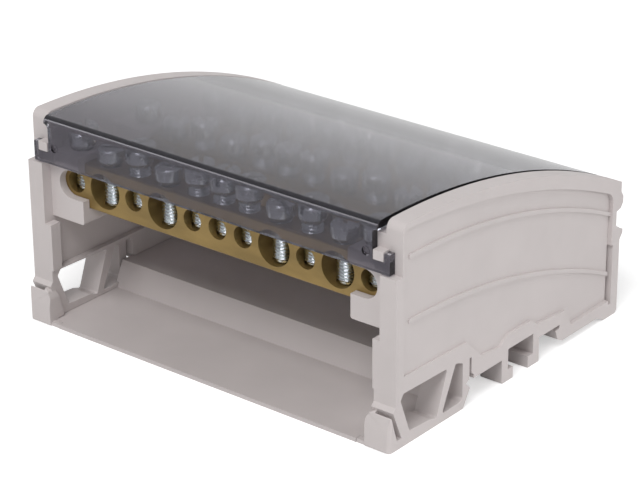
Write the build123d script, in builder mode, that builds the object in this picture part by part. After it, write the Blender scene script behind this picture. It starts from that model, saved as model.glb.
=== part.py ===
from build123d import *

import os
from math import hypot, sqrt

# Four-pole distribution block for a 35 mm top-hat rail: two moulded end plates, a folded
# insulating base sheet, four drilled brass bars with terminal screws and a smoked snap-on cover.
# X runs along the rail, Y from the hook side to the hinge side of the cover, Z away from the rail.
# The origin is at the middle of the footprint, on the plane of the feet. Millimetres.
# Inside the sketches a "depth" is measured from the front of the feet, a "height" from the feet.

# Overall
overall_width = 107.2
overall_depth = 89.75
front_y = -overall_depth / 2

# End plates
plate_thickness = 4.4
foot_thickness = 5.9
outer_x = overall_width / 2
wall_x = outer_x - plate_thickness
foot_x = outer_x - foot_thickness
wall_front = 2.3
wall_rear = overall_depth - 1.15
bump_proud = 0.9
upper_bump = (0.4, 1.6, 3.2, 4.6)
lower_bump = (1.1, 1.7, 2.6, 4.1)
edge_bevel = 0.8
toe_bevel = 0.3
thick_part_top = 13.2
stiffener_top = 25.0
stiffener_depth = 3.0
stiffener_proud = 1.9

# Crown of the cover and of the end plates: one shallow arc, highest near the front
crown_height = 52.1
crown_depth = 8.3
crown_radius = 184.4
horn_front = 4.55
horn_proud = 2.4
horn_depth = 3.4
horn_top_drop = 3.1
horn_corner = 2.0
shoulder_radius = 6.0
ledge_drop = 11.9
ledge_height = crown_height - ledge_drop

# Top-hat rail seat, catches and clip
rail_width = 35.0
rail_seat_height = 6.05
rail_front = 28.6
rail_rear = rail_front + rail_width
rail_barb = 0.75
barb_height = 4.2
barb_lip = 0.7
barb_rise = 1.0
rear_barb_lead = 2.0
rear_barb_slope = 1.1
foot_slot_start = 0.4
leg_rear = rail_front + 0.4
foot_slot_top = 11.6
foot_slot_width = 0.8
seat_notch = 2.1
seat_notch_rise = 0.9
foot_slot_flare = 1.7
foot_rear_slope = 1.8
clip_stem = 2.35
clip_barb = 2.0
clip_barb_height = 2.9
clip_front = rail_front + 12.9
clip_rear = rail_front + 27.5
clip_ceiling = 7.95
rear_skirt_height = 1.5
rear_foot_depth = wall_rear - 5.5
rear_foot_slope = 2.9
toe_width = 3.2
toe_depth = 1.3

# Release hook and windows of the sprung front foot
hook_height = 8.4
hook_shoulder = 4.9
hook_lean = 0.6
hook_lip = 0.3
hook_slot_floor = 2.3
hook_slot_width = 1.6
hook_slot_rear = 4.4
hook_slot_mouth = 1.45
hook_flare = 1.0
hook_proud = 0.8
hook_cheek = 2.3
hook_cheek_round = 5.6
hook_corner = 1.2
window_floor = 2.6
window_top = 12.4
window_front = 4.0
window_rear = rail_front - 2.1
strut_width = 2.0
strut_top = 21.8
strut_foot = 16.9
window_corner = 0.6
window_slope = 1.0
window_tilt = 0.4
window_toe = 2.4
window_lean = 3.2
leg_relief_lead = 1.6
leg_relief_foot = 1.3

# Relief on the outer faces
recess_front_deep = 0.35
recess_rear_deep = 1.1
recess_front = wall_front + 2.9
recess_rear = wall_rear - 3.4
rim_front = 1.3
rim_rear = 3.8
rim_sag = 0.4
rim_low = 2.8
seat_rim = 3.7
rim_step = 0.8
rim_run = 2.8
rim_barb = 2.8
rim_foot = 4.4
rim_foot_run = 4.9
recess_corner = 1.0
recess_rear_corner = 3.2
ridge_width = 1.0
ridge_proud = 0.5
ridge_start = 1.6
ridge_drops = (8.0, 23.0)
ridge_rear_drops = (8.9, 24.2)
groove_width = 0.9
groove_lead = 0.3
groove_deep = 2.6
groove_top_drop = 4.5
groove_foot = 3.3

# Folded base sheet
sheet_thickness = 1.0
sheet_groove = 1.0
fit_gap = 0.1
sheet_front = 0.3
riser_gap = 1.0
riser_run = 3.0
rear_riser_gap = 1.8
rear_riser_run = 2.2
riser_top = rail_front - riser_gap
riser_foot = riser_top - riser_run
rear_riser_top = rail_rear + rear_riser_gap
rear_riser_foot = rear_riser_top + rear_riser_run
sheet_rear = wall_rear - 1.0

# Brass bars, two served from the front and two from the rear
bar_end_gap = 2.2
bar_length = 2 * (wall_x - bar_end_gap)
bar_height = 11.7
bar_thickness = 7.0
bar_edge = 0.35
bar_below_crown = 10.6
first_bar_depth = 10.7
last_bar_depth = wall_rear - 11.3
pair_pitch = 21.4
small_wire_hole = 5.2
large_wire_hole = 9.0
wire_hole_height = 5.8
first_hole_x = 7.4
hole_pitch = 8.9
bar_end_margin = 4.0

# Terminal screws
thread_diameter = 5.0
thread_gap = 0.05
shank_length = 10.5
head_diameter = 6.4
head_height = 4.0
driver_slot_width = 1.1
driver_slot_depth = 1.7
tip_chamfer = 0.5
tip_gap = 0.15

# Bar seats inside the end plates
seat_length = 10.0
seat_plate = 2.1
seat_floor = 3.5
seat_roof = 2.0
seat_corner = 0.6
shank_room = 0.2
seat_window_radius = 3.45

# Smoked cover
cover_thickness = 1.8
cover_side_gap = 1.0
cover_half_width = wall_x - cover_side_gap
strip_front = 2.55
strip_foot = ledge_height + 0.4
strip_height = 4.8
strip_half_width = outer_x - 2.0
face_half_width = wall_x - 2.2
dimple_inset = 1.8
dimple_height = 1.2
dimple_radius = 1.0
dimple_deep = 0.5
cover_nose = 1.6
cover_nose_inner = 0.4
cover_rear = wall_rear + 0.15
cover_shoulder = 5.0
ear_width = 3.0
ear_foot = 1.6
pivot_depth = cover_rear - 0.45
pivot_drop = 9.0
pivot_radius = 1.3
pivot_reach = outer_x - 2.4
pivot_room = 1.8

# Catch pegs
peg_front = 2.4
peg_width = 2.7
peg_height = 2.2
peg_rise = 2.9
peg_gap = 0.2
peg_inner_x = wall_x - 1.9


def side_plane(x):
    """Sketch plane across the block at x: local (depth, height), growing towards +X."""
    return Plane(origin=(x, front_y, 0), x_dir=(0, 1, 0), z_dir=(1, 0, 0))


def front_plane(depth):
    """Sketch plane facing the front at a depth: local (x, height), growing to the front."""
    return Plane(origin=(0, front_y + depth, 0), x_dir=(1, 0, 0), z_dir=(0, -1, 0))


def crown(depth, drop=0.0):
    """Height of the crown arc at a depth, or of one that runs a constant drop inside it."""
    radius = crown_radius - drop
    return crown_height - crown_radius + sqrt(radius**2 - (depth - crown_depth) ** 2)


bar_depths = (
    first_bar_depth,
    first_bar_depth + pair_pitch,
    last_bar_depth - pair_pitch,
    last_bar_depth,
)
bar_tops = tuple(crown(depth) - bar_below_crown for depth in bar_depths)

# Wire holes: a small one in the middle, then large and small in turn towards both ends
hole_steps = int((bar_length / 2 - bar_end_margin - first_hole_x) / hole_pitch + 1e-6)
side_holes = [first_hole_x + step * hole_pitch for step in range(hole_steps + 1)]
small_hole_xs = [0.0] + [side * x for x in side_holes[0::2] for side in (-1, 1)]
large_hole_xs = [side * x for x in side_holes[1::2] for side in (-1, 1)]
end_hole_x = side_holes[-1]

# Hinge of the cover and the catch pegs that its front strip snaps under
pivot_height = crown(pivot_depth) - pivot_drop
cover_rear_foot = pivot_height + 2.4
pivot_recess = pivot_depth - pivot_radius - fit_gap
pivot_recess_top = pivot_height + pivot_room
pivot_recess_foot = pivot_height - pivot_room
peg_foot = strip_foot + peg_rise


def crown_arc(start, end, drop=0.0):
    """Stretch of the crown arc between two depths, drawn in a side sketch."""
    middle = (start + end) / 2
    return ThreePointArc(*[(depth, crown(depth, drop)) for depth in (start, middle, end)])


def plate_outline():
    """Closed outline of an end plate with its feet, in a side sketch."""
    bump = wall_rear + bump_proud
    foot_slot_rear = leg_rear + foot_slot_width
    with BuildLine() as outline:
        front = Polyline(
            (toe_bevel, 0),
            (0, toe_bevel),
            (0, hook_shoulder),
            (hook_lean, hook_height - hook_lip),
            (hook_lean + hook_lip, hook_height),
            (hook_slot_rear - hook_slot_width, hook_slot_floor),
            (hook_slot_rear, hook_slot_floor),
            (hook_slot_mouth, hook_height + hook_flare),
            (wall_front, hook_height + 2 * hook_flare),
            (wall_front, ledge_height),
            (horn_front, ledge_height),
            (horn_front, crown(horn_front)),
        )
        top = crown_arc(horn_front, wall_rear)
        Polyline(
            top @ 1,
            (wall_rear, pivot_recess_top + upper_bump[3]),
            (bump, pivot_recess_top + upper_bump[2]),
            (bump, pivot_recess_top + upper_bump[1]),
            (wall_rear, pivot_recess_top + upper_bump[0]),
            (pivot_recess, pivot_recess_top),
            (pivot_recess, pivot_recess_foot),
            (wall_rear, pivot_recess_foot - lower_bump[0]),
            (overall_depth, pivot_recess_foot - lower_bump[1]),
            (overall_depth, pivot_recess_foot - lower_bump[2]),
            (wall_rear, pivot_recess_foot - lower_bump[3]),
            (wall_rear, edge_bevel),
            (wall_rear - edge_bevel, 0),
            (rear_foot_depth, 0),
            (rear_foot_depth - rear_foot_slope, rear_skirt_height),
            (rail_rear + rear_barb_lead, rear_skirt_height),
            (rail_rear, rear_skirt_height + rear_barb_slope),
            (rail_rear - rail_barb, barb_height + barb_lip),
            (rail_rear + rail_barb, barb_height + barb_rise),
            (rail_rear + rail_barb, rail_seat_height),
            (clip_rear, rail_seat_height),
            (clip_rear, toe_bevel),
            (clip_rear - toe_bevel, 0),
            (clip_rear - clip_stem - clip_barb, 0),
            (clip_rear - clip_stem - clip_barb, clip_barb_height),
            (clip_rear - clip_stem, clip_barb_height),
            (clip_rear - clip_stem, clip_ceiling),
            (clip_front + clip_stem, clip_ceiling),
            (clip_front + clip_stem, clip_barb_height),
            (clip_front + clip_stem + clip_barb, clip_barb_height),
            (clip_front + clip_stem + clip_barb, 0),
            (clip_front + toe_bevel, 0),
            (clip_front, toe_bevel),
            (clip_front, rail_seat_height),
            (rail_front + seat_notch, rail_seat_height),
            (rail_front + seat_notch, rail_seat_height + seat_notch_rise),
            (foot_slot_rear, rail_seat_height + foot_slot_flare),
            (foot_slot_rear, foot_slot_top),
            (leg_rear, foot_slot_top),
            (leg_rear, rail_seat_height + foot_slot_start),
            (rail_front - rail_barb, rail_seat_height - 2 * fit_gap),
            (rail_front + rail_barb, barb_height),
            (rail_front + toe_bevel, barb_height - barb_lip),
            (rail_front - foot_rear_slope, 0),
            front @ 0,
        )
    return outline


def window_outlines():
    """The two windows that leave a slanted strut in the sprung foot, as point lists."""
    front_window = (
        (window_front, window_top - window_slope),
        (window_front + window_slope, window_top + window_tilt),
        (strut_top - strut_width / 2, window_top),
        (strut_foot, window_floor - 2 * window_tilt),
        (strut_foot - window_toe, window_floor),
        (window_front + window_lean, window_floor + window_tilt),
    )
    rear_window = (
        (strut_top + strut_width / 2 + window_slope, window_top),
        (window_rear, window_top - window_slope),
        (window_rear, window_floor),
        (window_rear - window_slope, window_floor - window_tilt),
        (strut_foot + strut_width, window_floor - 1.5 * window_tilt),
    )
    return front_window, rear_window


def sheet_line():
    """Underside of the folded base sheet, from the front edge to the rear edge."""
    return (
        (sheet_front, 0),
        (riser_foot, 0),
        (riser_top, rail_seat_height),
        (rear_riser_top, rail_seat_height),
        (rear_riser_foot, rear_skirt_height),
        (sheet_rear, rear_skirt_height),
    )


def thickened(points, below, above):
    """Closed outline of a folded sheet, grown below and above its line of points."""
    outline = []
    for side, order in ((-below, 1), (above, -1)):
        run = []
        for index, (depth, height) in enumerate(points):
            normals = []
            for first in (index - 1, index):
                if 0 <= first < len(points) - 1:
                    along = points[first + 1][0] - points[first][0]
                    rise = points[first + 1][1] - points[first][1]
                    length = hypot(along, rise)
                    normals.append((-rise / length, along / length))
            across = sum(normal[0] for normal in normals)
            up = sum(normal[1] for normal in normals)
            scale = len(normals) * side / (across**2 + up**2)
            run.append((depth + across * scale, height + up * scale))
        outline += run[::order]
    return outline


def relief_plane(proud):
    """Slanted floor of the outer recess on the right plate, or a plane proud of it."""
    low = Vector(outer_x - recess_front_deep + proud, front_y + recess_front, 0)
    along = Vector(recess_front_deep - recess_rear_deep, recess_rear - recess_front, 0)
    return Plane(origin=low, x_dir=along, z_dir=along.cross(Vector(0, 0, 1)))


def recess_outline():
    """Panel recess between the raised rims, drawn in a side sketch."""
    top_start = (recess_front, crown(recess_front) - rim_front)
    middle = (recess_front + recess_rear) / 2
    top_middle = (middle, crown(middle) - (rim_front + rim_rear) / 2 - rim_sag)
    top_end = (recess_rear, crown(recess_rear) - rim_rear)
    rail_rim = rail_seat_height + seat_rim
    clip_rim = clip_ceiling + seat_rim
    with BuildLine() as outline:
        ThreePointArc(top_start, top_middle, top_end)
        Polyline(
            top_end,
            (recess_rear, rear_skirt_height + rim_low),
            (rail_rear + rim_barb + rim_run, rear_skirt_height + rim_low),
            (rail_rear + rim_barb, rail_rim - rim_step),
            (clip_rear - rim_step, rail_rim),
            (clip_rear - rim_step - rim_run, clip_rim),
            (clip_front - rim_step + rim_run, clip_rim),
            (clip_front - rim_step, rail_rim),
            (rail_front + rim_foot_run, rail_rim + rim_step),
            (rail_front - rim_step, foot_slot_top + rim_foot),
            (recess_front, foot_slot_top + rim_foot + rim_step),
            top_start,
        )
    return outline


with BuildPart() as recess_tool:
    with BuildSketch(side_plane(outer_x - recess_rear_deep - 1)) as recess_face:
        with BuildLine():
            add(recess_outline().line)
        make_face()
        rear_corner = (recess_rear, crown(recess_rear) - rim_rear)
        fillet(recess_face.vertices().sort_by_distance(rear_corner)[0], recess_rear_corner)
        fillet(recess_face.vertices().group_by(Axis.Y)[-1], recess_corner)
    extrude(amount=recess_rear_deep + 2)
    split(bisect_by=relief_plane(0), keep=Keep.TOP)

with BuildPart() as ridges:
    for front_drop, rear_drop in zip(ridge_drops, ridge_rear_drops):
        ends = ((recess_front + ridge_start, front_drop), (recess_rear, rear_drop))
        middle = (ends[0][0] + ends[1][0]) / 2
        bow = (front_drop + rear_drop) / 2
        with BuildSketch(side_plane(outer_x - recess_rear_deep - 1)):
            with BuildLine():
                lower = ThreePointArc(
                    (ends[0][0], crown(ends[0][0]) - front_drop - ridge_width / 2),
                    (middle, crown(middle) - bow - ridge_width / 2),
                    (ends[1][0], crown(ends[1][0]) - rear_drop - ridge_width / 2),
                )
                upper = ThreePointArc(
                    (ends[0][0], crown(ends[0][0]) - front_drop + ridge_width / 2),
                    (middle, crown(middle) - bow + ridge_width / 2),
                    (ends[1][0], crown(ends[1][0]) - rear_drop + ridge_width / 2),
                )
                Line(lower @ 0, upper @ 0)
                Line(lower @ 1, upper @ 1)
            make_face()
        extrude(amount=recess_rear_deep + 1)
    split(bisect_by=relief_plane(ridge_proud), keep=Keep.BOTTOM)


def bar_seat(depth, bar_top):
    """Pocket block for a bar's right end: floor, roof, two plates and a rounded wire window."""
    bar_foot = bar_top - bar_height
    near = depth - bar_thickness / 2 - seat_plate
    width = bar_thickness + 2 * seat_plate
    seat_x = wall_x - seat_length
    with BuildPart() as seat:
        with BuildSketch(front_plane(near)):
            Polygon(
                (seat_x, bar_foot - seat_floor),
                (wall_x + 1, bar_foot - seat_floor),
                (wall_x + 1, bar_top + seat_roof),
                (seat_x, bar_top + seat_roof),
                align=None,
            )
        extrude(amount=-width)
        fillet(seat.edges().filter_by(Axis.Y).group_by(Axis.X)[0], seat_corner)
        with Locations((0, front_y + depth, bar_foot)):
            Box(
                bar_length + 2 * fit_gap,
                bar_thickness + 2 * fit_gap,
                bar_height + fit_gap,
                align=(Align.CENTER, Align.CENTER, Align.MIN),
                mode=Mode.SUBTRACT,
            )
        with Locations((end_hole_x, front_y + depth, bar_top)):
            Cylinder(
                thread_diameter / 2 + shank_room,
                2 * seat_roof,
                align=(Align.CENTER, Align.CENTER, Align.MIN),
                mode=Mode.SUBTRACT,
            )
        with BuildSketch(front_plane(near - 1)):
            with Locations((end_hole_x, bar_foot + wire_hole_height)):
                Circle(seat_window_radius)
                Rectangle(seat_length, 2 * seat_window_radius, align=(Align.MAX, Align.CENTER))
        extrude(amount=-(width + 2), mode=Mode.SUBTRACT)
    return seat.part


with BuildPart() as hook_cheek_block:
    # Inner side of the hook: closes its slot and stands a little proud of the foot
    cheek_toe = hook_slot_rear - hook_slot_width
    with BuildSketch(side_plane(foot_x - hook_proud)):
        Polygon(
            (toe_bevel, 0),
            (0, toe_bevel),
            (0, hook_shoulder),
            (hook_lean, hook_height - hook_lip),
            (hook_slot_mouth, hook_height + hook_flare),
            (wall_front, hook_height + 2 * hook_flare),
            (hook_slot_rear + 0.2, hook_slot_floor),
            (hook_slot_rear + 0.2, sheet_thickness + 2 * fit_gap),
            (cheek_toe, sheet_thickness + 2 * fit_gap),
            (cheek_toe, 0),
            align=None,
        )
    extrude(amount=hook_cheek)
    cheek_x = foot_x - hook_proud
    cheek_top = hook_height + hook_flare / 2
    with BuildSketch(front_plane(-1)):
        with BuildLine():
            sides = Polyline(
                (cheek_x + hook_cheek, cheek_top),
                (cheek_x + hook_cheek, -1),
                (cheek_x, -1),
                (cheek_x, hook_cheek_round),
            )
            shoulder = (cheek_x + hook_cheek / 4, (hook_cheek_round + 2 * cheek_top) / 3)
            ThreePointArc(sides @ 1, shoulder, sides @ 0)
        make_face()
    extrude(amount=-2 * hook_slot_rear, mode=Mode.INTERSECT)

with BuildPart() as right_plate:
    # Wall and feet in full thickness
    with BuildSketch(side_plane(wall_x)) as wall_face:
        with BuildLine():
            add(plate_outline().line)
        make_face()
        corners = wall_face.vertices()
        fillet(corners.sort_by_distance((horn_front, crown(horn_front)))[0], horn_corner)
        fillet(corners.sort_by_distance((wall_rear, crown(wall_rear)))[0], shoulder_radius)
    extrude(amount=plate_thickness)
    # Feet and sprung foot, thicker towards the middle
    with BuildSketch(side_plane(foot_x)):
        with BuildLine():
            add(plate_outline().line)
        make_face()
        with Locations((overall_depth / 2, thick_part_top)):
            Rectangle(2 * overall_depth, 60, align=(Align.CENTER, Align.MIN), mode=Mode.SUBTRACT)
    extrude(amount=foot_thickness)
    # Release hook, its rounded outer corner and its toe under the base sheet
    add(hook_cheek_block.part)
    with BuildSketch(Plane.XY):
        with Locations((outer_x, front_y)):
            Rectangle(hook_corner, hook_corner, align=(Align.MAX, Align.MIN))
        with Locations((outer_x - hook_corner, front_y + hook_corner)):
            Circle(hook_corner, mode=Mode.SUBTRACT)
    extrude(amount=hook_height, mode=Mode.SUBTRACT)
    with Locations((foot_x, front_y + sheet_front + fit_gap, 0)):
        Box(toe_width, toe_depth, sheet_thickness, align=(Align.MAX, Align.MIN, Align.MIN))
    # Front stiffener, horn and catch peg
    with Locations((wall_x, front_y + wall_front, thick_part_top)):
        Box(
            stiffener_proud,
            stiffener_depth,
            stiffener_top - thick_part_top,
            align=(Align.MAX, Align.MIN, Align.MIN),
        )
    with Locations((wall_x, front_y + horn_front, ledge_height)):
        Box(
            horn_proud,
            horn_depth,
            ledge_drop - horn_top_drop,
            align=(Align.MAX, Align.MIN, Align.MIN),
        )
    with Locations((peg_inner_x, front_y + peg_front, peg_foot)):
        Box(
            peg_width,
            horn_front - peg_front,
            peg_height,
            align=(Align.MIN, Align.MIN, Align.MIN),
        )
    # Relief on the outer face
    add(recess_tool.part, mode=Mode.SUBTRACT)
    add(ridges.part)
    with Locations((outer_x, front_y + recess_rear - groove_lead, groove_foot)):
        Box(
            groove_deep,
            groove_width,
            pivot_recess_foot - groove_top_drop - groove_foot,
            align=(Align.MAX, Align.MIN, Align.MIN),
            mode=Mode.SUBTRACT,
        )
    # Windows of the sprung foot
    for window in window_outlines():
        with BuildSketch(side_plane(foot_x - 1)) as window_face:
            Polygon(*window, align=None)
            fillet(window_face.vertices(), window_corner)
        extrude(amount=foot_thickness + 2, mode=Mode.SUBTRACT)
    # Sprung leg thinned to the wall, clear of the end of the base sheet
    with Locations((foot_x, front_y + window_rear - leg_relief_lead, leg_relief_foot)):
        Box(
            foot_thickness - plate_thickness,
            leg_rear + leg_relief_lead - window_rear,
            window_top - leg_relief_foot,
            align=(Align.MIN, Align.MIN, Align.MIN),
            mode=Mode.SUBTRACT,
        )
    # Groove that takes the end of the base sheet
    with BuildSketch(side_plane(foot_x)):
        Polygon(*thickened(sheet_line(), fit_gap, sheet_thickness + fit_gap), align=None)
    extrude(amount=sheet_groove, mode=Mode.SUBTRACT)
    # Seats of the four bars
    for bar_depth, bar_top in zip(bar_depths, bar_tops):
        add(bar_seat(bar_depth, bar_top))

right_plate.part.label = "right_end_plate"

with BuildPart() as left_plate:
    add(right_plate.part.mirror(Plane.YZ))
left_plate.part.label = "left_end_plate"

sheet_end = foot_x + sheet_groove - fit_gap
with BuildPart() as base_sheet:
    with BuildSketch(side_plane(-sheet_end)):
        Polygon(*thickened(sheet_line(), 0, sheet_thickness), align=None)
    extrude(amount=2 * sheet_end)
    # Front corners cleared for the release hooks and their toes
    for side in (1, -1):
        outward = Align.MIN if side > 0 else Align.MAX
        with Locations((side * (foot_x - toe_width - fit_gap), front_y, 0)):
            Box(
                2 * toe_width,
                2 * (sheet_front + toe_depth + 2 * fit_gap),
                4 * sheet_thickness,
                align=(outward, Align.CENTER, Align.CENTER),
                mode=Mode.SUBTRACT,
            )
        with Locations((side * (foot_x - hook_proud - fit_gap), front_y, 0)):
            Box(
                2 * toe_width,
                2 * (hook_slot_rear - hook_slot_width + fit_gap),
                4 * sheet_thickness,
                align=(outward, Align.CENTER, Align.CENTER),
                mode=Mode.SUBTRACT,
            )
base_sheet.part.label = "base_sheet"


def tip_height(diameter):
    """Height above a bar's foot of a fully driven screw's tip in a wire hole."""
    return wire_hole_height - diameter / 2 + tip_gap


def brass_bar(depth, bar_top):
    """Bar with wire holes from front to back and a tapped hole down into each of them."""
    bar_foot = bar_top - bar_height
    with BuildPart() as bar:
        with Locations((0, front_y + depth, bar_foot)):
            Box(bar_length, bar_thickness, bar_height, align=(Align.CENTER, Align.CENTER, Align.MIN))
        chamfer(bar.edges().filter_by(Axis.X), bar_edge)
        for xs, diameter in ((small_hole_xs, small_wire_hole), (large_hole_xs, large_wire_hole)):
            with BuildSketch(front_plane(depth + bar_thickness)):
                with Locations(*[(x, bar_foot + wire_hole_height) for x in xs]):
                    Circle(diameter / 2)
            extrude(amount=2 * bar_thickness, mode=Mode.SUBTRACT)
            floor = bar_foot + tip_height(diameter) - tip_gap
            with Locations(*[(x, front_y + depth, floor) for x in xs]):
                Cylinder(
                    thread_diameter / 2 + thread_gap,
                    bar_top - floor + 1,
                    align=(Align.CENTER, Align.CENTER, Align.MIN),
                    mode=Mode.SUBTRACT,
                )
    return bar.part


with BuildPart() as screw:
    Cylinder(thread_diameter / 2, shank_length, align=(Align.CENTER, Align.CENTER, Align.MIN))
    chamfer(screw.edges().sort_by(Axis.Z)[0], tip_chamfer)
    with Locations((0, 0, shank_length)):
        Cylinder(head_diameter / 2, head_height, align=(Align.CENTER, Align.CENTER, Align.MIN))
    with Locations((0, 0, shank_length + head_height)):
        Box(
            head_diameter + 1,
            driver_slot_width,
            driver_slot_depth,
            align=(Align.CENTER, Align.CENTER, Align.MAX),
            mode=Mode.SUBTRACT,
        )


def screw_row(depth, bar_top, xs, diameter):
    """Fully driven terminal screws over the wire holes of one size in a bar."""
    tip = bar_top - bar_height + tip_height(diameter)
    with BuildPart() as row:
        with Locations(*[(x, front_y + depth, tip) for x in xs]):
            add(screw.part)
    return row.part


def cover_profile():
    """Side outline of the cover shell: rounded nose, crown arc and rounded shoulder."""
    inside = strip_front + cover_thickness
    inner_rear = cover_rear - cover_thickness
    with BuildSketch() as profile:
        with BuildLine():
            outer = crown_arc(strip_front, cover_rear)
            inner = crown_arc(inside, inner_rear, cover_thickness)
            Polyline(outer @ 0, (strip_front, strip_foot), (inside, strip_foot), inner @ 0)
            Polyline(outer @ 1, (cover_rear, cover_rear_foot), (inner_rear, cover_rear_foot), inner @ 1)
        make_face()
        corners = (
            (outer @ 0, cover_nose),
            (inner @ 0, cover_nose_inner),
            (outer @ 1, cover_shoulder),
            (inner @ 1, cover_shoulder - cover_thickness),
        )
        for corner, radius in corners:
            fillet(profile.vertices().sort_by_distance(corner)[0], radius)
    return profile.sketch


with BuildPart() as cover:
    with BuildSketch(side_plane(-cover_half_width)):
        add(cover_profile())
    extrude(amount=2 * cover_half_width)
    for side in (1, -1):
        towards = Align.MIN if side > 0 else Align.MAX
        # Strip end that lies in front of the end plate, notched round its peg
        with Locations((side * (cover_half_width - 1), front_y + strip_front, strip_foot)):
            Box(
                strip_half_width - cover_half_width + 1,
                cover_thickness,
                strip_height,
                align=(towards, Align.MIN, Align.MIN),
            )
        with Locations((side * (peg_inner_x - peg_gap), front_y + strip_front, peg_foot - peg_gap)):
            Box(
                peg_width + 2 * peg_gap,
                4 * cover_thickness,
                peg_height + 2 * peg_gap,
                align=(towards, Align.CENTER, Align.MIN),
                mode=Mode.SUBTRACT,
            )
        # Front face narrower than the crown, with a dimple near each of its lower corners
        with BuildSketch(front_plane(strip_front + cover_thickness)) as face_cut:
            with Locations((side * face_half_width, strip_foot + strip_height)):
                Rectangle(
                    2 * (cover_half_width - face_half_width),
                    crown_height - cover_thickness - strip_foot - strip_height,
                    align=(towards, Align.MIN),
                )
            inner_top = face_cut.vertices().sort_by_distance((side * face_half_width, crown_height))[0]
            fillet(inner_top, cover_half_width - face_half_width)
        extrude(amount=2 * cover_thickness, mode=Mode.SUBTRACT)
        with BuildSketch(front_plane(strip_front + dimple_deep)):
            with Locations((side * (face_half_width - dimple_inset), peg_foot + dimple_height)):
                Circle(dimple_radius)
        extrude(amount=cover_thickness, mode=Mode.SUBTRACT)
        # Rear ear with the pivot that turns between the end plate's bumps
        with Locations((side * cover_half_width, front_y + cover_rear, pivot_height - ear_foot)):
            Box(
                ear_width,
                cover_thickness,
                cover_rear_foot + 1 - pivot_height + ear_foot,
                align=(Align.MAX if side > 0 else Align.MIN, Align.MAX, Align.MIN),
            )
        with BuildSketch(side_plane(side * (cover_half_width - ear_width))):
            with Locations((pivot_depth, pivot_height)):
                Circle(pivot_radius)
        extrude(amount=side * (pivot_reach - cover_half_width + ear_width))
cover.part.label = "cover"

os.makedirs("parts", exist_ok=True)
export_step(left_plate.part, "parts/left_end_plate.step")
export_step(right_plate.part, "parts/right_end_plate.step")
export_step(base_sheet.part, "parts/base_sheet.step")
export_step(cover.part, "parts/cover.step")
screw_kinds = (
    ("small", small_hole_xs, small_wire_hole),
    ("large", large_hole_xs, large_wire_hole),
)
for number, (bar_depth, bar_top) in enumerate(zip(bar_depths, bar_tops), start=1):
    bar = brass_bar(bar_depth, bar_top)
    bar.label = f"brass_bar_{number}"
    export_step(bar, f"parts/brass_bar_{number}.step")
    for kind, xs, diameter in screw_kinds:
        screws = screw_row(bar_depth, bar_top, xs, diameter)
        screws.label = f"{kind}_screws_{number}"
        export_step(screws, f"parts/{kind}_screws_{number}.step")
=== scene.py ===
from math import cos, pi, radians, sin

import bmesh
import bpy
from bpy.props import FloatProperty, FloatVectorProperty, IntProperty, PointerProperty
from bpy.types import Operator, Panel, PropertyGroup
from mathutils import Matrix, Vector


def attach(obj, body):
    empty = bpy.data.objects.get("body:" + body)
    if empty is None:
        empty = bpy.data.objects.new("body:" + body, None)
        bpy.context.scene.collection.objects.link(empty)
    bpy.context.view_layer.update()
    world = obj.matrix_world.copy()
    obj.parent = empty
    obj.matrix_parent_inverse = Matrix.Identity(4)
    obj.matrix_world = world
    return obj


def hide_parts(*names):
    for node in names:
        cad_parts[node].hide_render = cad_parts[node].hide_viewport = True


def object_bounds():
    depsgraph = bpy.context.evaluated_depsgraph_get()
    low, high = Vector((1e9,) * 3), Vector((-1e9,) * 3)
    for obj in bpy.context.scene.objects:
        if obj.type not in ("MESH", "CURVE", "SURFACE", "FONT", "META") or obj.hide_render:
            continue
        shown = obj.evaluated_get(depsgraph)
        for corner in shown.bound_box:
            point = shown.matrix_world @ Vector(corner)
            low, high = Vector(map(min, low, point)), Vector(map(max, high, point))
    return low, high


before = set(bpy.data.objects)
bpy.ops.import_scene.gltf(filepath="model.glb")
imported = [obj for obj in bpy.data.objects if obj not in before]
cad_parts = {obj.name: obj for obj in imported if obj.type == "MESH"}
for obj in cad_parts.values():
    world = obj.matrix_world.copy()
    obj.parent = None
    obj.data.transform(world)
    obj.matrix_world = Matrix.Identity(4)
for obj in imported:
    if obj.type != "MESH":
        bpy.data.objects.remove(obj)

bl_info = {
    "name": "Rail distribution block",
    "version": (1, 0, 0),
    "blender": (4, 5, 0),
    "location": "3D View > Sidebar > Distribution block",
    "description": "Finishes the plates, bars, screws and cover of a rail distribution block",
    "category": "Object",
}

CAD_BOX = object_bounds()
END_PLATES = ("left_end_plate", "right_end_plate")
BRASS_BARS = tuple(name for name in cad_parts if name.startswith("brass_bar_"))
SCREW_ROWS = tuple(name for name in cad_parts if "_screws_" in name)

# Softened copies of the solids
WELD_DISTANCE = 1e-6
FLAT_ANGLE = radians(0.1)
BEVEL_ANGLE = radians(35)
BEVEL_SEGMENTS = 2
FACE_AREA_WEIGHT = 50

# Screws: sides of their round parts and the proportions that follow from their sizes
SHANK_SIDES = 24
RIDGE_SIDES = 4
HEAD_SIDES = 36
BARE_PITCHES = 1.5
UNDERSIDE_SLOPE = 0.7
BROKEN_EDGE_SHARE = 0.1
BLADE_LENGTH_IN_RADII = 3.0
HARD_EDGE_ANGLE = radians(36)

# Looks
PLASTIC_INDEX = 1.5
BRASS_METALLIC = 0.55
SHADOW_TINT_FACTOR = 0.95

# Stage: the shares are how strongly something shows in a mirror, for the table by its distance
# from the block and for the surroundings by the sine of the angle above the horizon
WHITE = (1.0, 1.0, 1.0, 1.0)
TABLE_REACH = 3.0
TABLE_ROUGHNESS = 0.9
TABLE_SHADES = ((0.86, 0.86, 0.86), (0.88, 0.88, 0.88))
TABLE_MIRRORED = {"low": 0.15, "high": 0.95, "start": 0.2, "end": 1.2}
CEILING_MIRRORED = {"low": 1.0, "high": 0.55, "start": 0.27, "end": 0.42}
SENSOR_WIDTH = 36.0
NEAR_CLIP = 0.01


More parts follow.
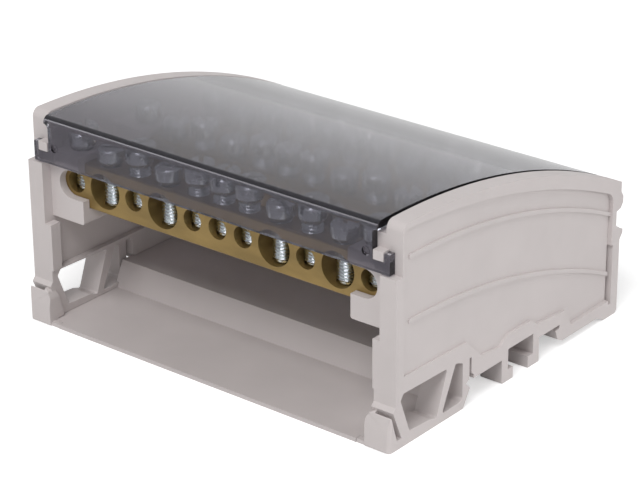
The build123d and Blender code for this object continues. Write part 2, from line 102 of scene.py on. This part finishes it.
# Sizes and colours that a user may change


def colour_setting(name, description, default):
    return FloatVectorProperty(
        name=name, description=description, subtype="COLOR", min=0.0, max=1.0, default=default
    )


def place_setting(name, description, default):
    return FloatVectorProperty(
        name=name, description=description, subtype="XYZ", unit="LENGTH", default=default
    )


def share_setting(name, description, default):
    return FloatProperty(
        name=name, description=description, subtype="FACTOR", min=0.0, max=1.0, default=default
    )


def length_setting(name, description, default, lowest=0.0):
    return FloatProperty(
        name=name, description=description, unit="LENGTH", min=lowest, default=default
    )


def angle_setting(name, description, degrees):
    return FloatProperty(
        name=name, description=description, subtype="ANGLE", default=radians(degrees)
    )


def strength_setting(name, description, default, unit="NONE"):
    return FloatProperty(name=name, description=description, unit=unit, min=0.0, default=default)


class MouldedPlastic(PropertyGroup):
    """Pale grey engineering plastic of the end plates and the base sheet."""

    colour: colour_setting(
        "Plate colour", "Warm light grey of the moulded end plates", (0.615, 0.565, 0.558)
    )
    sheet_colour: colour_setting(
        "Sheet colour", "Grey of the folded insulating sheet", (0.6, 0.55, 0.543)
    )
    roughness: share_setting("Roughness", "Roughness of the satin moulded surface", 0.5)
    grain: length_setting(
        "Grain", "Spacing of the fine eroded grain of the mould", 0.00035, lowest=0.00005
    )
    edge_radius: length_setting("Edge radius", "Rounding of the moulded edges", 0.0004)


class BarBrass(PropertyGroup):
    """Drawn and drilled brass of the terminal bars."""

    colour: colour_setting(
        "Brass colour", "Colour of the slightly tarnished drawn brass", (0.308, 0.209, 0.073)
    )
    roughness: share_setting("Roughness", "Roughness of the drawn faces", 0.36)
    draw_mark: length_setting(
        "Draw marks", "Spacing of the fine marks that run along the bar", 0.00012, lowest=0.00002
    )


class TerminalScrew(PropertyGroup):
    """Slotted cheese-head screw, zinc plated."""

    colour: colour_setting(
        "Zinc colour", "Colour of the bright zinc plating", (0.65, 0.695, 0.705)
    )
    thread_diameter: length_setting(
        "Thread diameter", "Outer diameter of the thread", 0.005, lowest=0.001
    )
    thread_pitch: length_setting(
        "Thread pitch", "Distance from one turn of the thread to the next", 0.0008, lowest=0.0002
    )
    shank_length: length_setting(
        "Shank length", "Length of the threaded shank under the head", 0.0105, lowest=0.002
    )
    head_diameter: length_setting(
        "Head diameter", "Diameter of the cheese head", 0.0064, lowest=0.002
    )
    head_height: length_setting("Head height", "Height of the cheese head", 0.004, lowest=0.001)
    head_taper: length_setting(
        "Head taper", "Height of the tapered underside of the head", 0.001, lowest=0.0001
    )
    slot_width: length_setting("Slot width", "Width of the driver slot", 0.0011, lowest=0.0003)
    slot_depth: length_setting("Slot depth", "Depth of the driver slot", 0.0017, lowest=0.0003)
    turn_seed: IntProperty(
        name="Turn seed",
        description="Seed of the random angle at which each slot came to rest",
        min=0,
        default=4,
    )


class SmokedCover(PropertyGroup):
    """Smoke-grey transparent plastic of the hinged cover."""

    tint: colour_setting(
        "Smoke tint", "Share of the light that passes each face of the cover", (0.315, 0.305, 0.332)
    )
    sheen: colour_setting("Sheen", "Colour cast of what the cover mirrors", (0.88, 0.86, 1.0))
    roughness: share_setting("Roughness", "Roughness of the polished cover", 0.075)
    index: FloatProperty(
        name="Refractive index",
        description="Refractive index of the clear plastic",
        min=1.0,
        max=2.5,
        default=1.57,
    )
    edge_radius: length_setting("Edge radius", "Rounding of the cover's edges", 0.00004)


class Studio(PropertyGroup):
    """White table, soft lamps and the camera."""

    surroundings: strength_setting(
        "Surroundings", "Strength of the even light from all round", 0.37
    )
    table_glow: strength_setting(
        "Table glow", "Strength of the glow that makes the table look white", 0.45
    )
    key_power: strength_setting(
        "Key lamp", "Power of the large soft lamp above the front", 10.5, unit="POWER"
    )
    key_size: length_setting("Key lamp size", "Side of the square key lamp", 0.6)
    key_place: place_setting("Key lamp place", "Place of the key lamp", (0.27, -0.8, 1.15))
    side_power: strength_setting(
        "Side lamp", "Power of the large soft lamp at the right end", 5.0, unit="POWER"
    )
    side_size: length_setting("Side lamp size", "Side of the square side lamp", 0.8)
    side_place: place_setting("Side lamp place", "Place of the side lamp", (1.25, 0.3, 0.5))
    lamp_aim: place_setting("Lamp aim", "Point that both lamps face", (0.0, 0.0, 0.02))
    camera_azimuth: angle_setting(
        "Azimuth", "Angle of the camera round the block, from the front to its right end", 39.13
    )
    camera_elevation: angle_setting("Elevation", "Angle of the camera above the table", 24.38)
    camera_roll: angle_setting("Roll", "Turn of the camera about its line of sight", -0.426)
    camera_place: place_setting(
        "Place", "Place of the camera in the frame of the block", (0.3403, -0.41998, 0.2644)
    )
    camera_lens: FloatProperty(
        name="Lens",
        description="Focal length on a sensor 36 mm wide",
        unit="CAMERA",
        min=1.0,
        default=142.39,
    )


class DistributionBlock(PropertyGroup):
    """All settings of the block."""

    plastic: PointerProperty(type=MouldedPlastic)
    brass: PointerProperty(type=BarBrass)
    screw: PointerProperty(type=TerminalScrew)
    cover: PointerProperty(type=SmokedCover)
    studio: PointerProperty(type=Studio)


# Node trees


class Bench:
    """A node tree under construction, with short calls for its nodes and links."""

    def __init__(self, tree):
        self.tree = tree
        tree.nodes.clear()

    def feed(self, socket, value):
        """Link a socket to another one, or give it a plain value."""
        if isinstance(value, bpy.types.NodeSocket):
            self.tree.links.new(value, socket)
        else:
            socket.default_value = value

    def node(self, kind, inputs=(), **attributes):
        """A new node with its attributes set and its inputs fed."""
        made = self.tree.nodes.new(kind)
        for name, value in attributes.items():
            setattr(made, name, value)
        for name, value in dict(inputs).items():
            self.feed(made.inputs[name], value)
        return made

    def math(self, operation, first, second):
        return self.node("ShaderNodeMath", {0: first, 1: second}, operation=operation).outputs[0]

    def between(self, value, low, high, start=0.35, end=0.65):
        """A number that runs from low to high as the value goes from start to end."""
        ends = {"From Min": start, "From Max": end, "To Min": low, "To Max": high}
        return self.node("ShaderNodeMapRange", {"Value": value, **ends}).outputs["Result"]

    def swapped(self, share, first, second):
        """The first shader, with the second in its place by this share."""
        return self.node("ShaderNodeMixShader", {0: share, 1: first, 2: second}).outputs[0]

    def in_plain_sight(self, mirrored):
        """One for what is seen straight on or through a pane, this share in a mirror, else zero."""
        path = self.node("ShaderNodeLightPath").outputs
        glossy = self.math("MULTIPLY", path["Is Glossy Ray"], mirrored)
        seen = self.math("MAXIMUM", path["Is Camera Ray"], path["Is Transmission Ray"])
        seen = self.math("MAXIMUM", seen, glossy)
        before_diffuse = self.math("LESS_THAN", path["Diffuse Depth"], 0.5)
        return self.math("MULTIPLY", seen, before_diffuse)


class Shading(Bench):
    """A material under construction."""

    def __init__(self, name):
        self.material = bpy.data.materials.new(name)
        self.material.use_nodes = True
        super().__init__(self.material.node_tree)
        self.output = self.node("ShaderNodeOutputMaterial")
        self.surface = self.node("ShaderNodeBsdfPrincipled")
        self.show(self.surface.outputs["BSDF"])
        self.place = self.node("ShaderNodeTexCoord").outputs["Object"]

    def show(self, shader):
        """Make this shader the one that the material shows."""
        self.feed(self.output.inputs["Surface"], shader)

    def set(self, **values):
        """Feed the surface shader's own sockets."""
        for name, value in values.items():
            self.feed(self.surface.inputs[name.replace("_", " ")], value)

    def noise(self, spacing, detail=2.0, stretch=None):
        """Noise with features about one spacing apart; stretch scales it along X, Y and Z."""
        place = self.place
        if stretch:
            mapping = self.node("ShaderNodeMapping", {"Vector": place, "Scale": stretch})
            place = mapping.outputs["Vector"]
        pattern = {"Vector": place, "Scale": 1.0 / spacing, "Detail": detail}
        return self.node("ShaderNodeTexNoise", pattern).outputs["Fac"]

    def shades(self, pattern, first, second):
        """A colour that goes from the first to the second with a pattern."""
        factor = self.between(pattern, low=0.0, high=1.0)
        mix = self.node("ShaderNodeMix", {"Factor": factor}, data_type="RGBA")
        ends = [socket for socket in mix.inputs if socket.type == "RGBA"]
        for socket, colour in zip(ends, (first, second)):
            socket.default_value = (*colour, 1.0)
        return next(socket for socket in mix.outputs if socket.type == "RGBA")

    def bump(self, height, distance, strength, under=None):
        """Normal of a surface with a height pattern of that depth in metres."""
        pattern = {"Height": height, "Distance": distance, "Strength": strength}
        if under:
            pattern["Normal"] = under
        return self.node("ShaderNodeBump", pattern).outputs["Normal"]


class GeometryBench(Bench):
    """A geometry node group under construction."""

    def __init__(self, name, inputs):
        super().__init__(bpy.data.node_groups.new(name, "GeometryNodeTree"))
        self.add_socket("Geometry", "NodeSocketGeometry")
        self.add_socket("Geometry", "NodeSocketGeometry", way="OUTPUT")
        self.identifiers = {
            label: self.add_socket(label, kind).identifier for label, kind in inputs.items()
        }
        self.inside = self.node("NodeGroupInput")
        self.outside = self.node("NodeGroupOutput")

    def add_socket(self, label, kind, way="INPUT"):
        return self.tree.interface.new_socket(label, in_out=way, socket_type=kind)

    def value(self, label):
        """What the group is given at this input."""
        return self.inside.outputs[label]

    def half(self, value):
        return self.math("MULTIPLY", value, 0.5)

    def vector(self, x=0.0, y=0.0, z=0.0):
        return self.node("ShaderNodeCombineXYZ", {"X": x, "Y": y, "Z": z}).outputs[0]

    def moved(self, geometry, z):
        place = {"Geometry": geometry, "Translation": self.vector(z=z)}
        return self.node("GeometryNodeTransform", place).outputs[0]

    def cylinder(self, sides, radius, height, foot):
        """A cylinder that stands at the height of its foot."""
        sizes = {"Vertices": sides, "Radius": radius, "Depth": height}
        mesh = self.node("GeometryNodeMeshCylinder", sizes).outputs["Mesh"]
        return self.moved(mesh, self.math("ADD", foot, self.half(height)))

    def cone(self, sides, bottom, top, height, foot=0.0):
        """A blunt cone that stands at the height of its foot."""
        sizes = {"Vertices": sides, "Radius Bottom": bottom, "Radius Top": top, "Depth": height}
        return self.moved(self.node("GeometryNodeMeshCone", sizes).outputs["Mesh"], foot)

    def gathered(self, kind, socket, pieces, **attributes):
        """What a node makes of several pieces that all go into one socket."""
        made = self.node(kind, **attributes)
        for piece in pieces:
            self.feed(made.inputs[socket], piece)
        return made.outputs[0]


# Materials


def shade(colour, factor):
    """A colour made lighter or darker."""
    return tuple(min(1.0, channel * factor) for channel in colour)


def moulded_plastic(name, colour, settings):
    """Satin plastic with flow shading, eroded grain and faint handling marks."""
    look = Shading(name)
    flow = look.noise(spacing=0.018, detail=3.0)
    rub = look.noise(spacing=0.006, detail=4.0, stretch=(1.0, 1.0, 0.4))
    grain = look.bump(look.noise(settings.grain), distance=0.00001, strength=0.5)
    waves = look.noise(spacing=0.014, detail=1.0)
    look.set(
        Base_Color=look.shades(flow, shade(colour, 0.975), shade(colour, 1.02)),
        Roughness=look.between(rub, settings.roughness - 0.06, settings.roughness + 0.05),
        Normal=look.bump(waves, distance=0.00004, strength=0.2, under=grain),
        IOR=PLASTIC_INDEX,
    )
    return look.material


def drawn_brass(settings):
    """Brass with draw marks along X and a thin uneven tarnish."""
    look = Shading("drawn_brass")
    tarnish = look.noise(spacing=0.004, detail=5.0, stretch=(0.35, 1.0, 1.0))
    marks = look.noise(settings.draw_mark, detail=3.0, stretch=(0.02, 1.0, 1.0))
    look.set(
        Base_Color=look.shades(tarnish, shade(settings.colour, 0.82), shade(settings.colour, 1.12)),
        Roughness=look.between(marks, settings.roughness - 0.08, settings.roughness + 0.1),
        Normal=look.bump(marks, distance=0.000008, strength=0.6),
        Metallic=BRASS_METALLIC,
    )
    return look.material


def bright_zinc(settings):
    """Bright zinc plating with a slight blue cast and small tool marks."""
    look = Shading("bright_zinc")
    cloud = look.noise(spacing=0.0016, detail=3.0)
    marks = look.noise(spacing=0.0004)
    look.set(
        Base_Color=look.shades(cloud, shade(settings.colour, 0.86), shade(settings.colour, 1.06)),
        Roughness=look.between(cloud, low=0.2, high=0.28),
        Normal=look.bump(marks, distance=0.000004, strength=0.15),
        Metallic=1.0,
    )
    return look.material


def smoked_plastic(settings):
    """Polished smoke-grey plastic that lets the lamps reach what it covers."""
    look = Shading("smoked_plastic")
    look.set(
        Base_Color=(*settings.tint, 1.0),
        Roughness=settings.roughness,
        IOR=settings.index,
        Transmission_Weight=1.0,
        Specular_Tint=(*settings.sheen, 1.0),
    )
    shadow_tint = (*shade(settings.tint, SHADOW_TINT_FACTOR), 1.0)
    clear = look.node("ShaderNodeBsdfTransparent", {"Color": shadow_tint}).outputs["BSDF"]
    shadow = look.node("ShaderNodeLightPath").outputs["Is Shadow Ray"]
    look.show(look.swapped(shadow, look.surface.outputs["BSDF"], clear))
    return look.material


# Meshes


def added_object(name, data):
    """A new object of the scene that holds this data."""
    made = bpy.data.objects.new(name, data)
    bpy.context.scene.collection.objects.link(made)
    return made


def give_material(obj, material):
    """The object shows this one material."""
    obj.data.materials.clear()
    obj.data.materials.append(material)


def softened_copy(node, name, radius, material):
    """A copy of a CAD node's mesh with its doubles merged and its edges rounded."""
    mesh = bpy.data.meshes.new(name)
    work = bmesh.new()
    work.from_mesh(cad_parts[node].data)
    bmesh.ops.remove_doubles(work, verts=work.verts, dist=WELD_DISTANCE)
    bmesh.ops.dissolve_limit(work, angle_limit=FLAT_ANGLE, verts=work.verts, edges=work.edges)
    for face in work.faces:
        face.smooth = True
    work.to_mesh(mesh)
    work.free()
    copy = added_object(name, mesh)
    give_material(copy, material)
    rounding = copy.modifiers.new("edge rounding", "BEVEL")
    rounding.width = radius
    rounding.segments = BEVEL_SEGMENTS
    rounding.limit_method = "ANGLE"
    rounding.angle_limit = BEVEL_ANGLE
    rounding.use_clamp_overlap = True
    rounding.miter_outer = "MITER_ARC"
    shading = copy.modifiers.new("even shading", "WEIGHTED_NORMAL")
    shading.mode = "FACE_AREA"
    shading.weight = FACE_AREA_WEIGHT
    return copy


def loose_pieces(mesh):
    """Corner boxes of the separate solids in a mesh, as (lowest, highest) vectors."""
    work = bmesh.new()
    work.from_mesh(mesh)
    bmesh.ops.remove_doubles(work, verts=work.verts, dist=WELD_DISTANCE)
    left = set(work.verts)
    found = []
    for start in work.verts:
        if start not in left:
            continue
        left.remove(start)
        group = [start]
        for vertex in group:
            for edge in vertex.link_edges:
                other = edge.other_vert(vertex)
                if other in left:
                    left.remove(other)
                    group.append(other)
        low = Vector([min(vertex.co[axis] for vertex in group) for axis in range(3)])
        high = Vector([max(vertex.co[axis] for vertex in group) for axis in range(3)])
        found.append((low, high))
    work.free()
    return found


def grown_mesh(obj, name):
    """The evaluated object as a plain mesh object of its own."""
    depsgraph = bpy.context.evaluated_depsgraph_get()
    mesh = bpy.data.meshes.new_from_object(obj.evaluated_get(depsgraph))
    mesh.name = name
    bpy.data.objects.remove(obj)
    return added_object(name, mesh)


# Screws

SCREW_SIZES = (
    "Thread diameter",
    "Thread pitch",
    "Shank length",
    "Head diameter",
    "Head height",
    "Head taper",
    "Slot width",
    "Slot depth",
)


def threaded_shank(bench):
    """The shank's core, its turned tip and the ridge wound round it."""
    length, pitch = bench.value("Shank length"), bench.value("Thread pitch")
    half_pitch = bench.half(pitch)
    core = bench.math("SUBTRACT", bench.half(bench.value("Thread diameter")), half_pitch)
    tip_radius = bench.math("SUBTRACT", core, half_pitch)
    shank_height = bench.math("SUBTRACT", length, half_pitch)
    shank = bench.cylinder(SHANK_SIDES, core, shank_height, foot=half_pitch)
    tip = bench.cone(SHANK_SIDES, bottom=tip_radius, top=core, height=half_pitch)
    wound = bench.math("SUBTRACT", length, bench.math("MULTIPLY", pitch, BARE_PITCHES))
    spiral = bench.node(
        "GeometryNodeCurveSpiral",
        {
            "Resolution": SHANK_SIDES,
            "Rotations": bench.math("DIVIDE", wound, pitch),
            "Start Radius": core,
            "End Radius": core,
            "Height": wound,
        },
    ).outputs[0]
    upright = bench.node("GeometryNodeSetCurveNormal", {"Curve": spiral}, mode="Z_UP").outputs[0]
    profile = bench.node(
        "GeometryNodeCurvePrimitiveCircle", {"Resolution": RIDGE_SIDES, "Radius": half_pitch}
    ).outputs[0]
    ridge = bench.node(
        "GeometryNodeCurveToMesh",
        {"Curve": upright, "Profile Curve": profile, "Fill Caps": True},
    ).outputs[0]
    return shank, tip, bench.moved(ridge, pitch)


def slotted_head(bench):
    """Cheese head with a tapered underside, a broken edge and a driver slot."""
    foot, taper = bench.value("Shank length"), bench.value("Head taper")
    height = bench.value("Head height")
    radius = bench.half(bench.value("Head diameter"))
    broken = bench.math("MULTIPLY", height, BROKEN_EDGE_SHARE)
    neck_radius = bench.math("SUBTRACT", radius, bench.math("MULTIPLY", taper, UNDERSIDE_SLOPE))
    crown_radius = bench.math("SUBTRACT", radius, broken)
    drum_height = bench.math("SUBTRACT", bench.math("SUBTRACT", height, broken), taper)
    drum_foot = bench.math("ADD", foot, taper)
    brow_foot = bench.math("ADD", drum_foot, drum_height)
    underside = bench.cone(HEAD_SIDES, bottom=neck_radius, top=radius, height=taper, foot=foot)
    drum = bench.cylinder(HEAD_SIDES, radius, drum_height, foot=drum_foot)
    brow = bench.cone(HEAD_SIDES, bottom=radius, top=crown_radius, height=broken, foot=brow_foot)
    head = bench.gathered(
        "GeometryNodeMeshBoolean",
        "Mesh 2",
        (underside, drum, brow),
        operation="UNION",
        solver="EXACT",
    )
    blade_size = bench.vector(
        bench.math("MULTIPLY", radius, BLADE_LENGTH_IN_RADII),
        bench.value("Slot width"),
        bench.math("MULTIPLY", bench.value("Slot depth"), 2.0),
    )
    blade = bench.node("GeometryNodeMeshCube", {"Size": blade_size}).outputs["Mesh"]
    blade = bench.moved(blade, bench.math("ADD", foot, height))
    return bench.node(
        "GeometryNodeMeshBoolean",
        {"Mesh 1": head, "Mesh 2": blade},
        operation="DIFFERENCE",
        solver="EXACT",
    ).outputs["Mesh"]


def screw_tree():
    """Group that drives one threaded, slotted screw into every point of its input."""
    inputs = dict.fromkeys(SCREW_SIZES, "NodeSocketFloat")
    inputs["Turn seed"] = "NodeSocketInt"
    inputs["Material"] = "NodeSocketMaterial"
    bench = GeometryBench("terminal_screws_on_points", inputs)
    pieces = (*threaded_shank(bench), slotted_head(bench))
    screw = bench.gathered("GeometryNodeJoinGeometry", "Geometry", pieces)

    # Each screw comes to rest at an angle of its own
    turn = bench.node(
        "FunctionNodeRandomValue", {"Seed": bench.value("Turn seed")}, data_type="FLOAT"
    )
    lowest, highest = [socket for socket in turn.inputs if socket.type == "VALUE"][:2]
    lowest.default_value, highest.default_value = 0.0, pi
    angle = next(socket for socket in turn.outputs if socket.type == "VALUE")
    driven = bench.node(
        "GeometryNodeInstanceOnPoints",
        {
            "Points": bench.value("Geometry"),
            "Instance": screw,
            "Rotation": bench.vector(z=angle),
        },
    ).outputs[0]
    real = bench.node("GeometryNodeRealizeInstances", {"Geometry": driven}).outputs[0]

    # Round faces are shaded smooth between hard edges
    smooth = bench.node("GeometryNodeSetShadeSmooth", {"Geometry": real}).outputs[0]
    edge_angle = bench.node("GeometryNodeInputMeshEdgeAngle").outputs[0]
    crisp = bench.node(
        "GeometryNodeSetShadeSmooth",
        {
            "Geometry": smooth,
            "Shade Smooth": bench.math("LESS_THAN", edge_angle, HARD_EDGE_ANGLE),
        },
        domain="EDGE",
    ).outputs[0]
    painted = bench.node(
        "GeometryNodeSetMaterial", {"Geometry": crisp, "Material": bench.value("Material")}
    ).outputs[0]
    bench.feed(bench.outside.inputs["Geometry"], painted)
    return bench


# Stage


def soft_lamp(name, place, size, power, aim):
    """Square area lamp that faces a point."""
    lamp = bpy.data.lights.new(name, "AREA")
    lamp.energy = power
    lamp.size = size
    obj = added_object(name, lamp)
    obj.location = place
    obj.rotation_euler = (Vector(aim) - Vector(place)).to_track_quat("-Z", "Y").to_euler()


def white_table(settings):
    """Pale floor that keeps the shadow of the block."""
    look = Shading("white_table")
    look.set(
        Base_Color=look.shades(look.noise(spacing=0.3), *TABLE_SHADES),
        Roughness=TABLE_ROUGHNESS,
    )
    away = look.node("ShaderNodeVectorMath", {0: look.place}, operation="LENGTH").outputs["Value"]
    seen = look.in_plain_sight(mirrored=look.between(away, **TABLE_MIRRORED))
    dark = look.node("ShaderNodeEmission", {"Strength": 0.0}).outputs[0]
    glow = look.node("ShaderNodeEmission", {"Strength": settings.table_glow}).outputs[0]
    lit = look.surface.outputs["BSDF"]
    both = look.node("ShaderNodeAddShader", {0: lit, 1: look.swapped(seen, dark, glow)})
    look.show(both.outputs[0])
    corners = [
        (x * TABLE_REACH, y * TABLE_REACH, CAD_BOX[0][2])
        for x, y in ((-1, -1), (1, -1), (1, 1), (-1, 1))
    ]
    mesh = bpy.data.meshes.new("white_table")
    mesh.from_pydata(corners, [], [(0, 1, 2, 3)])
    table = added_object("white_table", mesh)
    give_material(table, look.material)


def white_surroundings(settings):
    """World that is white to the eye, a wall under a dim ceiling in mirrors, else even light."""
    world = bpy.data.worlds.new("white_surroundings")
    world.use_nodes = True
    bench = Bench(world.node_tree)
    direction = bench.node("ShaderNodeTexCoord").outputs["Generated"]
    height = bench.node("ShaderNodeSeparateXYZ", {"Vector": direction}).outputs["Z"]
    seen = bench.in_plain_sight(mirrored=bench.between(height, **CEILING_MIRRORED))
    light, backdrop = (
        bench.node("ShaderNodeBackground", {"Color": WHITE, "Strength": strength}).outputs[0]
        for strength in (settings.surroundings, 1.0)
    )
    bench.node("ShaderNodeOutputWorld", {"Surface": bench.swapped(seen, light, backdrop)})
    bpy.context.scene.world = world


def place_camera(settings):
    """Camera at the viewing angle of the photograph."""
    azimuth, elevation = settings.camera_azimuth, settings.camera_elevation
    roll = settings.camera_roll
    back = Vector((sin(azimuth) * cos(elevation), -cos(azimuth) * cos(elevation), sin(elevation)))
    right = Vector((0, 0, 1)).cross(back).normalized()
    up = back.cross(right)
    turned_right = cos(roll) * right + sin(roll) * up
    turned_up = cos(roll) * up - sin(roll) * right
    camera = bpy.data.cameras.new("camera")
    camera.lens = settings.camera_lens
    camera.sensor_width = SENSOR_WIDTH
    camera.clip_start = NEAR_CLIP
    obj = added_object("camera", camera)
    obj.rotation_euler = Matrix((turned_right, turned_up, back)).transposed().to_euler()
    obj.location = settings.camera_place
    bpy.context.scene.camera = obj


# Operators


class BLOCK_OT_mould_end_plates(Operator):
    """Round the moulded edges of both end plates and give them their satin plastic"""

    bl_idname = "block.mould_end_plates"
    bl_label = "Mould end plates"

    def execute(self, context):
        settings = context.scene.distribution_block.plastic
        plastic = moulded_plastic("moulded_plastic", settings.colour, settings)
        for node in END_PLATES:
            plate = softened_copy(node, node + "_moulding", settings.edge_radius, plastic)
            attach(plate, "housing")
            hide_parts(node)
        return {"FINISHED"}


class BLOCK_OT_fold_base_sheet(Operator):
    """Give the folded base sheet its smooth plastic"""

    bl_idname = "block.fold_base_sheet"
    bl_label = "Fold base sheet"

    def execute(self, context):
        settings = context.scene.distribution_block.plastic
        give_material(
            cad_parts["base_sheet"],
            moulded_plastic("sheet_plastic", settings.sheet_colour, settings),
        )
        return {"FINISHED"}


class BLOCK_OT_draw_brass_bars(Operator):
    """Give the drilled bars their drawn brass"""

    bl_idname = "block.draw_brass_bars"
    bl_label = "Draw brass bars"

    def execute(self, context):
        brass = drawn_brass(context.scene.distribution_block.brass)
        for node in BRASS_BARS:
            give_material(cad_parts[node], brass)
        return {"FINISHED"}


class BLOCK_OT_drive_terminal_screws(Operator):
    """Drive a threaded, slotted screw into every tapped hole of the bars"""

    bl_idname = "block.drive_terminal_screws"
    bl_label = "Drive terminal screws"

    def execute(self, context):
        settings = context.scene.distribution_block.screw
        tips = []
        for node in SCREW_ROWS:
            for low, high in loose_pieces(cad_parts[node].data):
                tips.append(((low.x + high.x) / 2, (low.y + high.y) / 2, low.z))
        mesh = bpy.data.meshes.new("screw_tips")
        mesh.from_pydata(tips, [], [])
        holder = added_object("screw_tips", mesh)
        bench = screw_tree()
        modifier = holder.modifiers.new("terminal screws", "NODES")
        modifier.node_group = bench.tree
        for label in (*SCREW_SIZES, "Turn seed"):
            setting = label.lower().replace(" ", "_")
            modifier[bench.identifiers[label]] = getattr(settings, setting)
        modifier[bench.identifiers["Material"]] = bright_zinc(settings)
        screws = grown_mesh(holder, "terminal_screws")
        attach(screws, "housing")
        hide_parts(*SCREW_ROWS)
        return {"FINISHED"}


class BLOCK_OT_snap_on_cover(Operator):
    """Round the edges of the hinged cover and give it its smoked plastic"""

    bl_idname = "block.snap_on_cover"
    bl_label = "Snap on cover"

    def execute(self, context):
        settings = context.scene.distribution_block.cover
        smoke = smoked_plastic(settings)
        cover = softened_copy("cover", "smoked_cover", settings.edge_radius, smoke)
        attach(cover, "cover_lid")
        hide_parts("cover")
        return {"FINISHED"}


class BLOCK_OT_set_studio(Operator):
    """Set up the white table, the soft lamps and the camera"""

    bl_idname = "block.set_studio"
    bl_label = "Set studio"

    def execute(self, context):
        studio = context.scene.distribution_block.studio
        aim = studio.lamp_aim
        white_table(studio)
        white_surroundings(studio)
        soft_lamp("key_lamp", studio.key_place, studio.key_size, studio.key_power, aim)
        soft_lamp("side_lamp", studio.side_place, studio.side_size, studio.side_power, aim)
        place_camera(studio)
        context.scene.view_settings.view_transform = "Standard"
        return {"FINISHED"}


OPERATORS = (
    BLOCK_OT_mould_end_plates,
    BLOCK_OT_fold_base_sheet,
    BLOCK_OT_draw_brass_bars,
    BLOCK_OT_drive_terminal_screws,
    BLOCK_OT_snap_on_cover,
    BLOCK_OT_set_studio,
)


class BLOCK_PT_panel(Panel):
    """Lists the steps and settings of the block"""

    bl_idname = "BLOCK_PT_panel"
    bl_label = "Distribution block"
    bl_space_type = "VIEW_3D"
    bl_region_type = "UI"
    bl_category = "Distribution block"

    def draw(self, context):
        for operator in OPERATORS:
            self.layout.operator(operator.bl_idname)
        block = context.scene.distribution_block
        for group in (block.plastic, block.brass, block.screw, block.cover, block.studio):
            box = self.layout.box()
            for name in group.bl_rna.properties.keys():
                if name not in ("rna_type", "name"):
                    box.prop(group, name)


CLASSES = (
    MouldedPlastic,
    BarBrass,
    TerminalScrew,
    SmokedCover,
    Studio,
    DistributionBlock,
    *OPERATORS,
    BLOCK_PT_panel,
)


def register():
    for made in CLASSES:
        bpy.utils.register_class(made)
    bpy.types.Scene.distribution_block = PointerProperty(type=DistributionBlock)


def unregister():
    del bpy.types.Scene.distribution_block
    for made in reversed(CLASSES):
        bpy.utils.unregister_class(made)


def main():
    register()
    for operator in OPERATORS:
        group, name = operator.bl_idname.split(".")
        getattr(getattr(bpy.ops, group), name)()


if __name__ == "__main__":
    main()
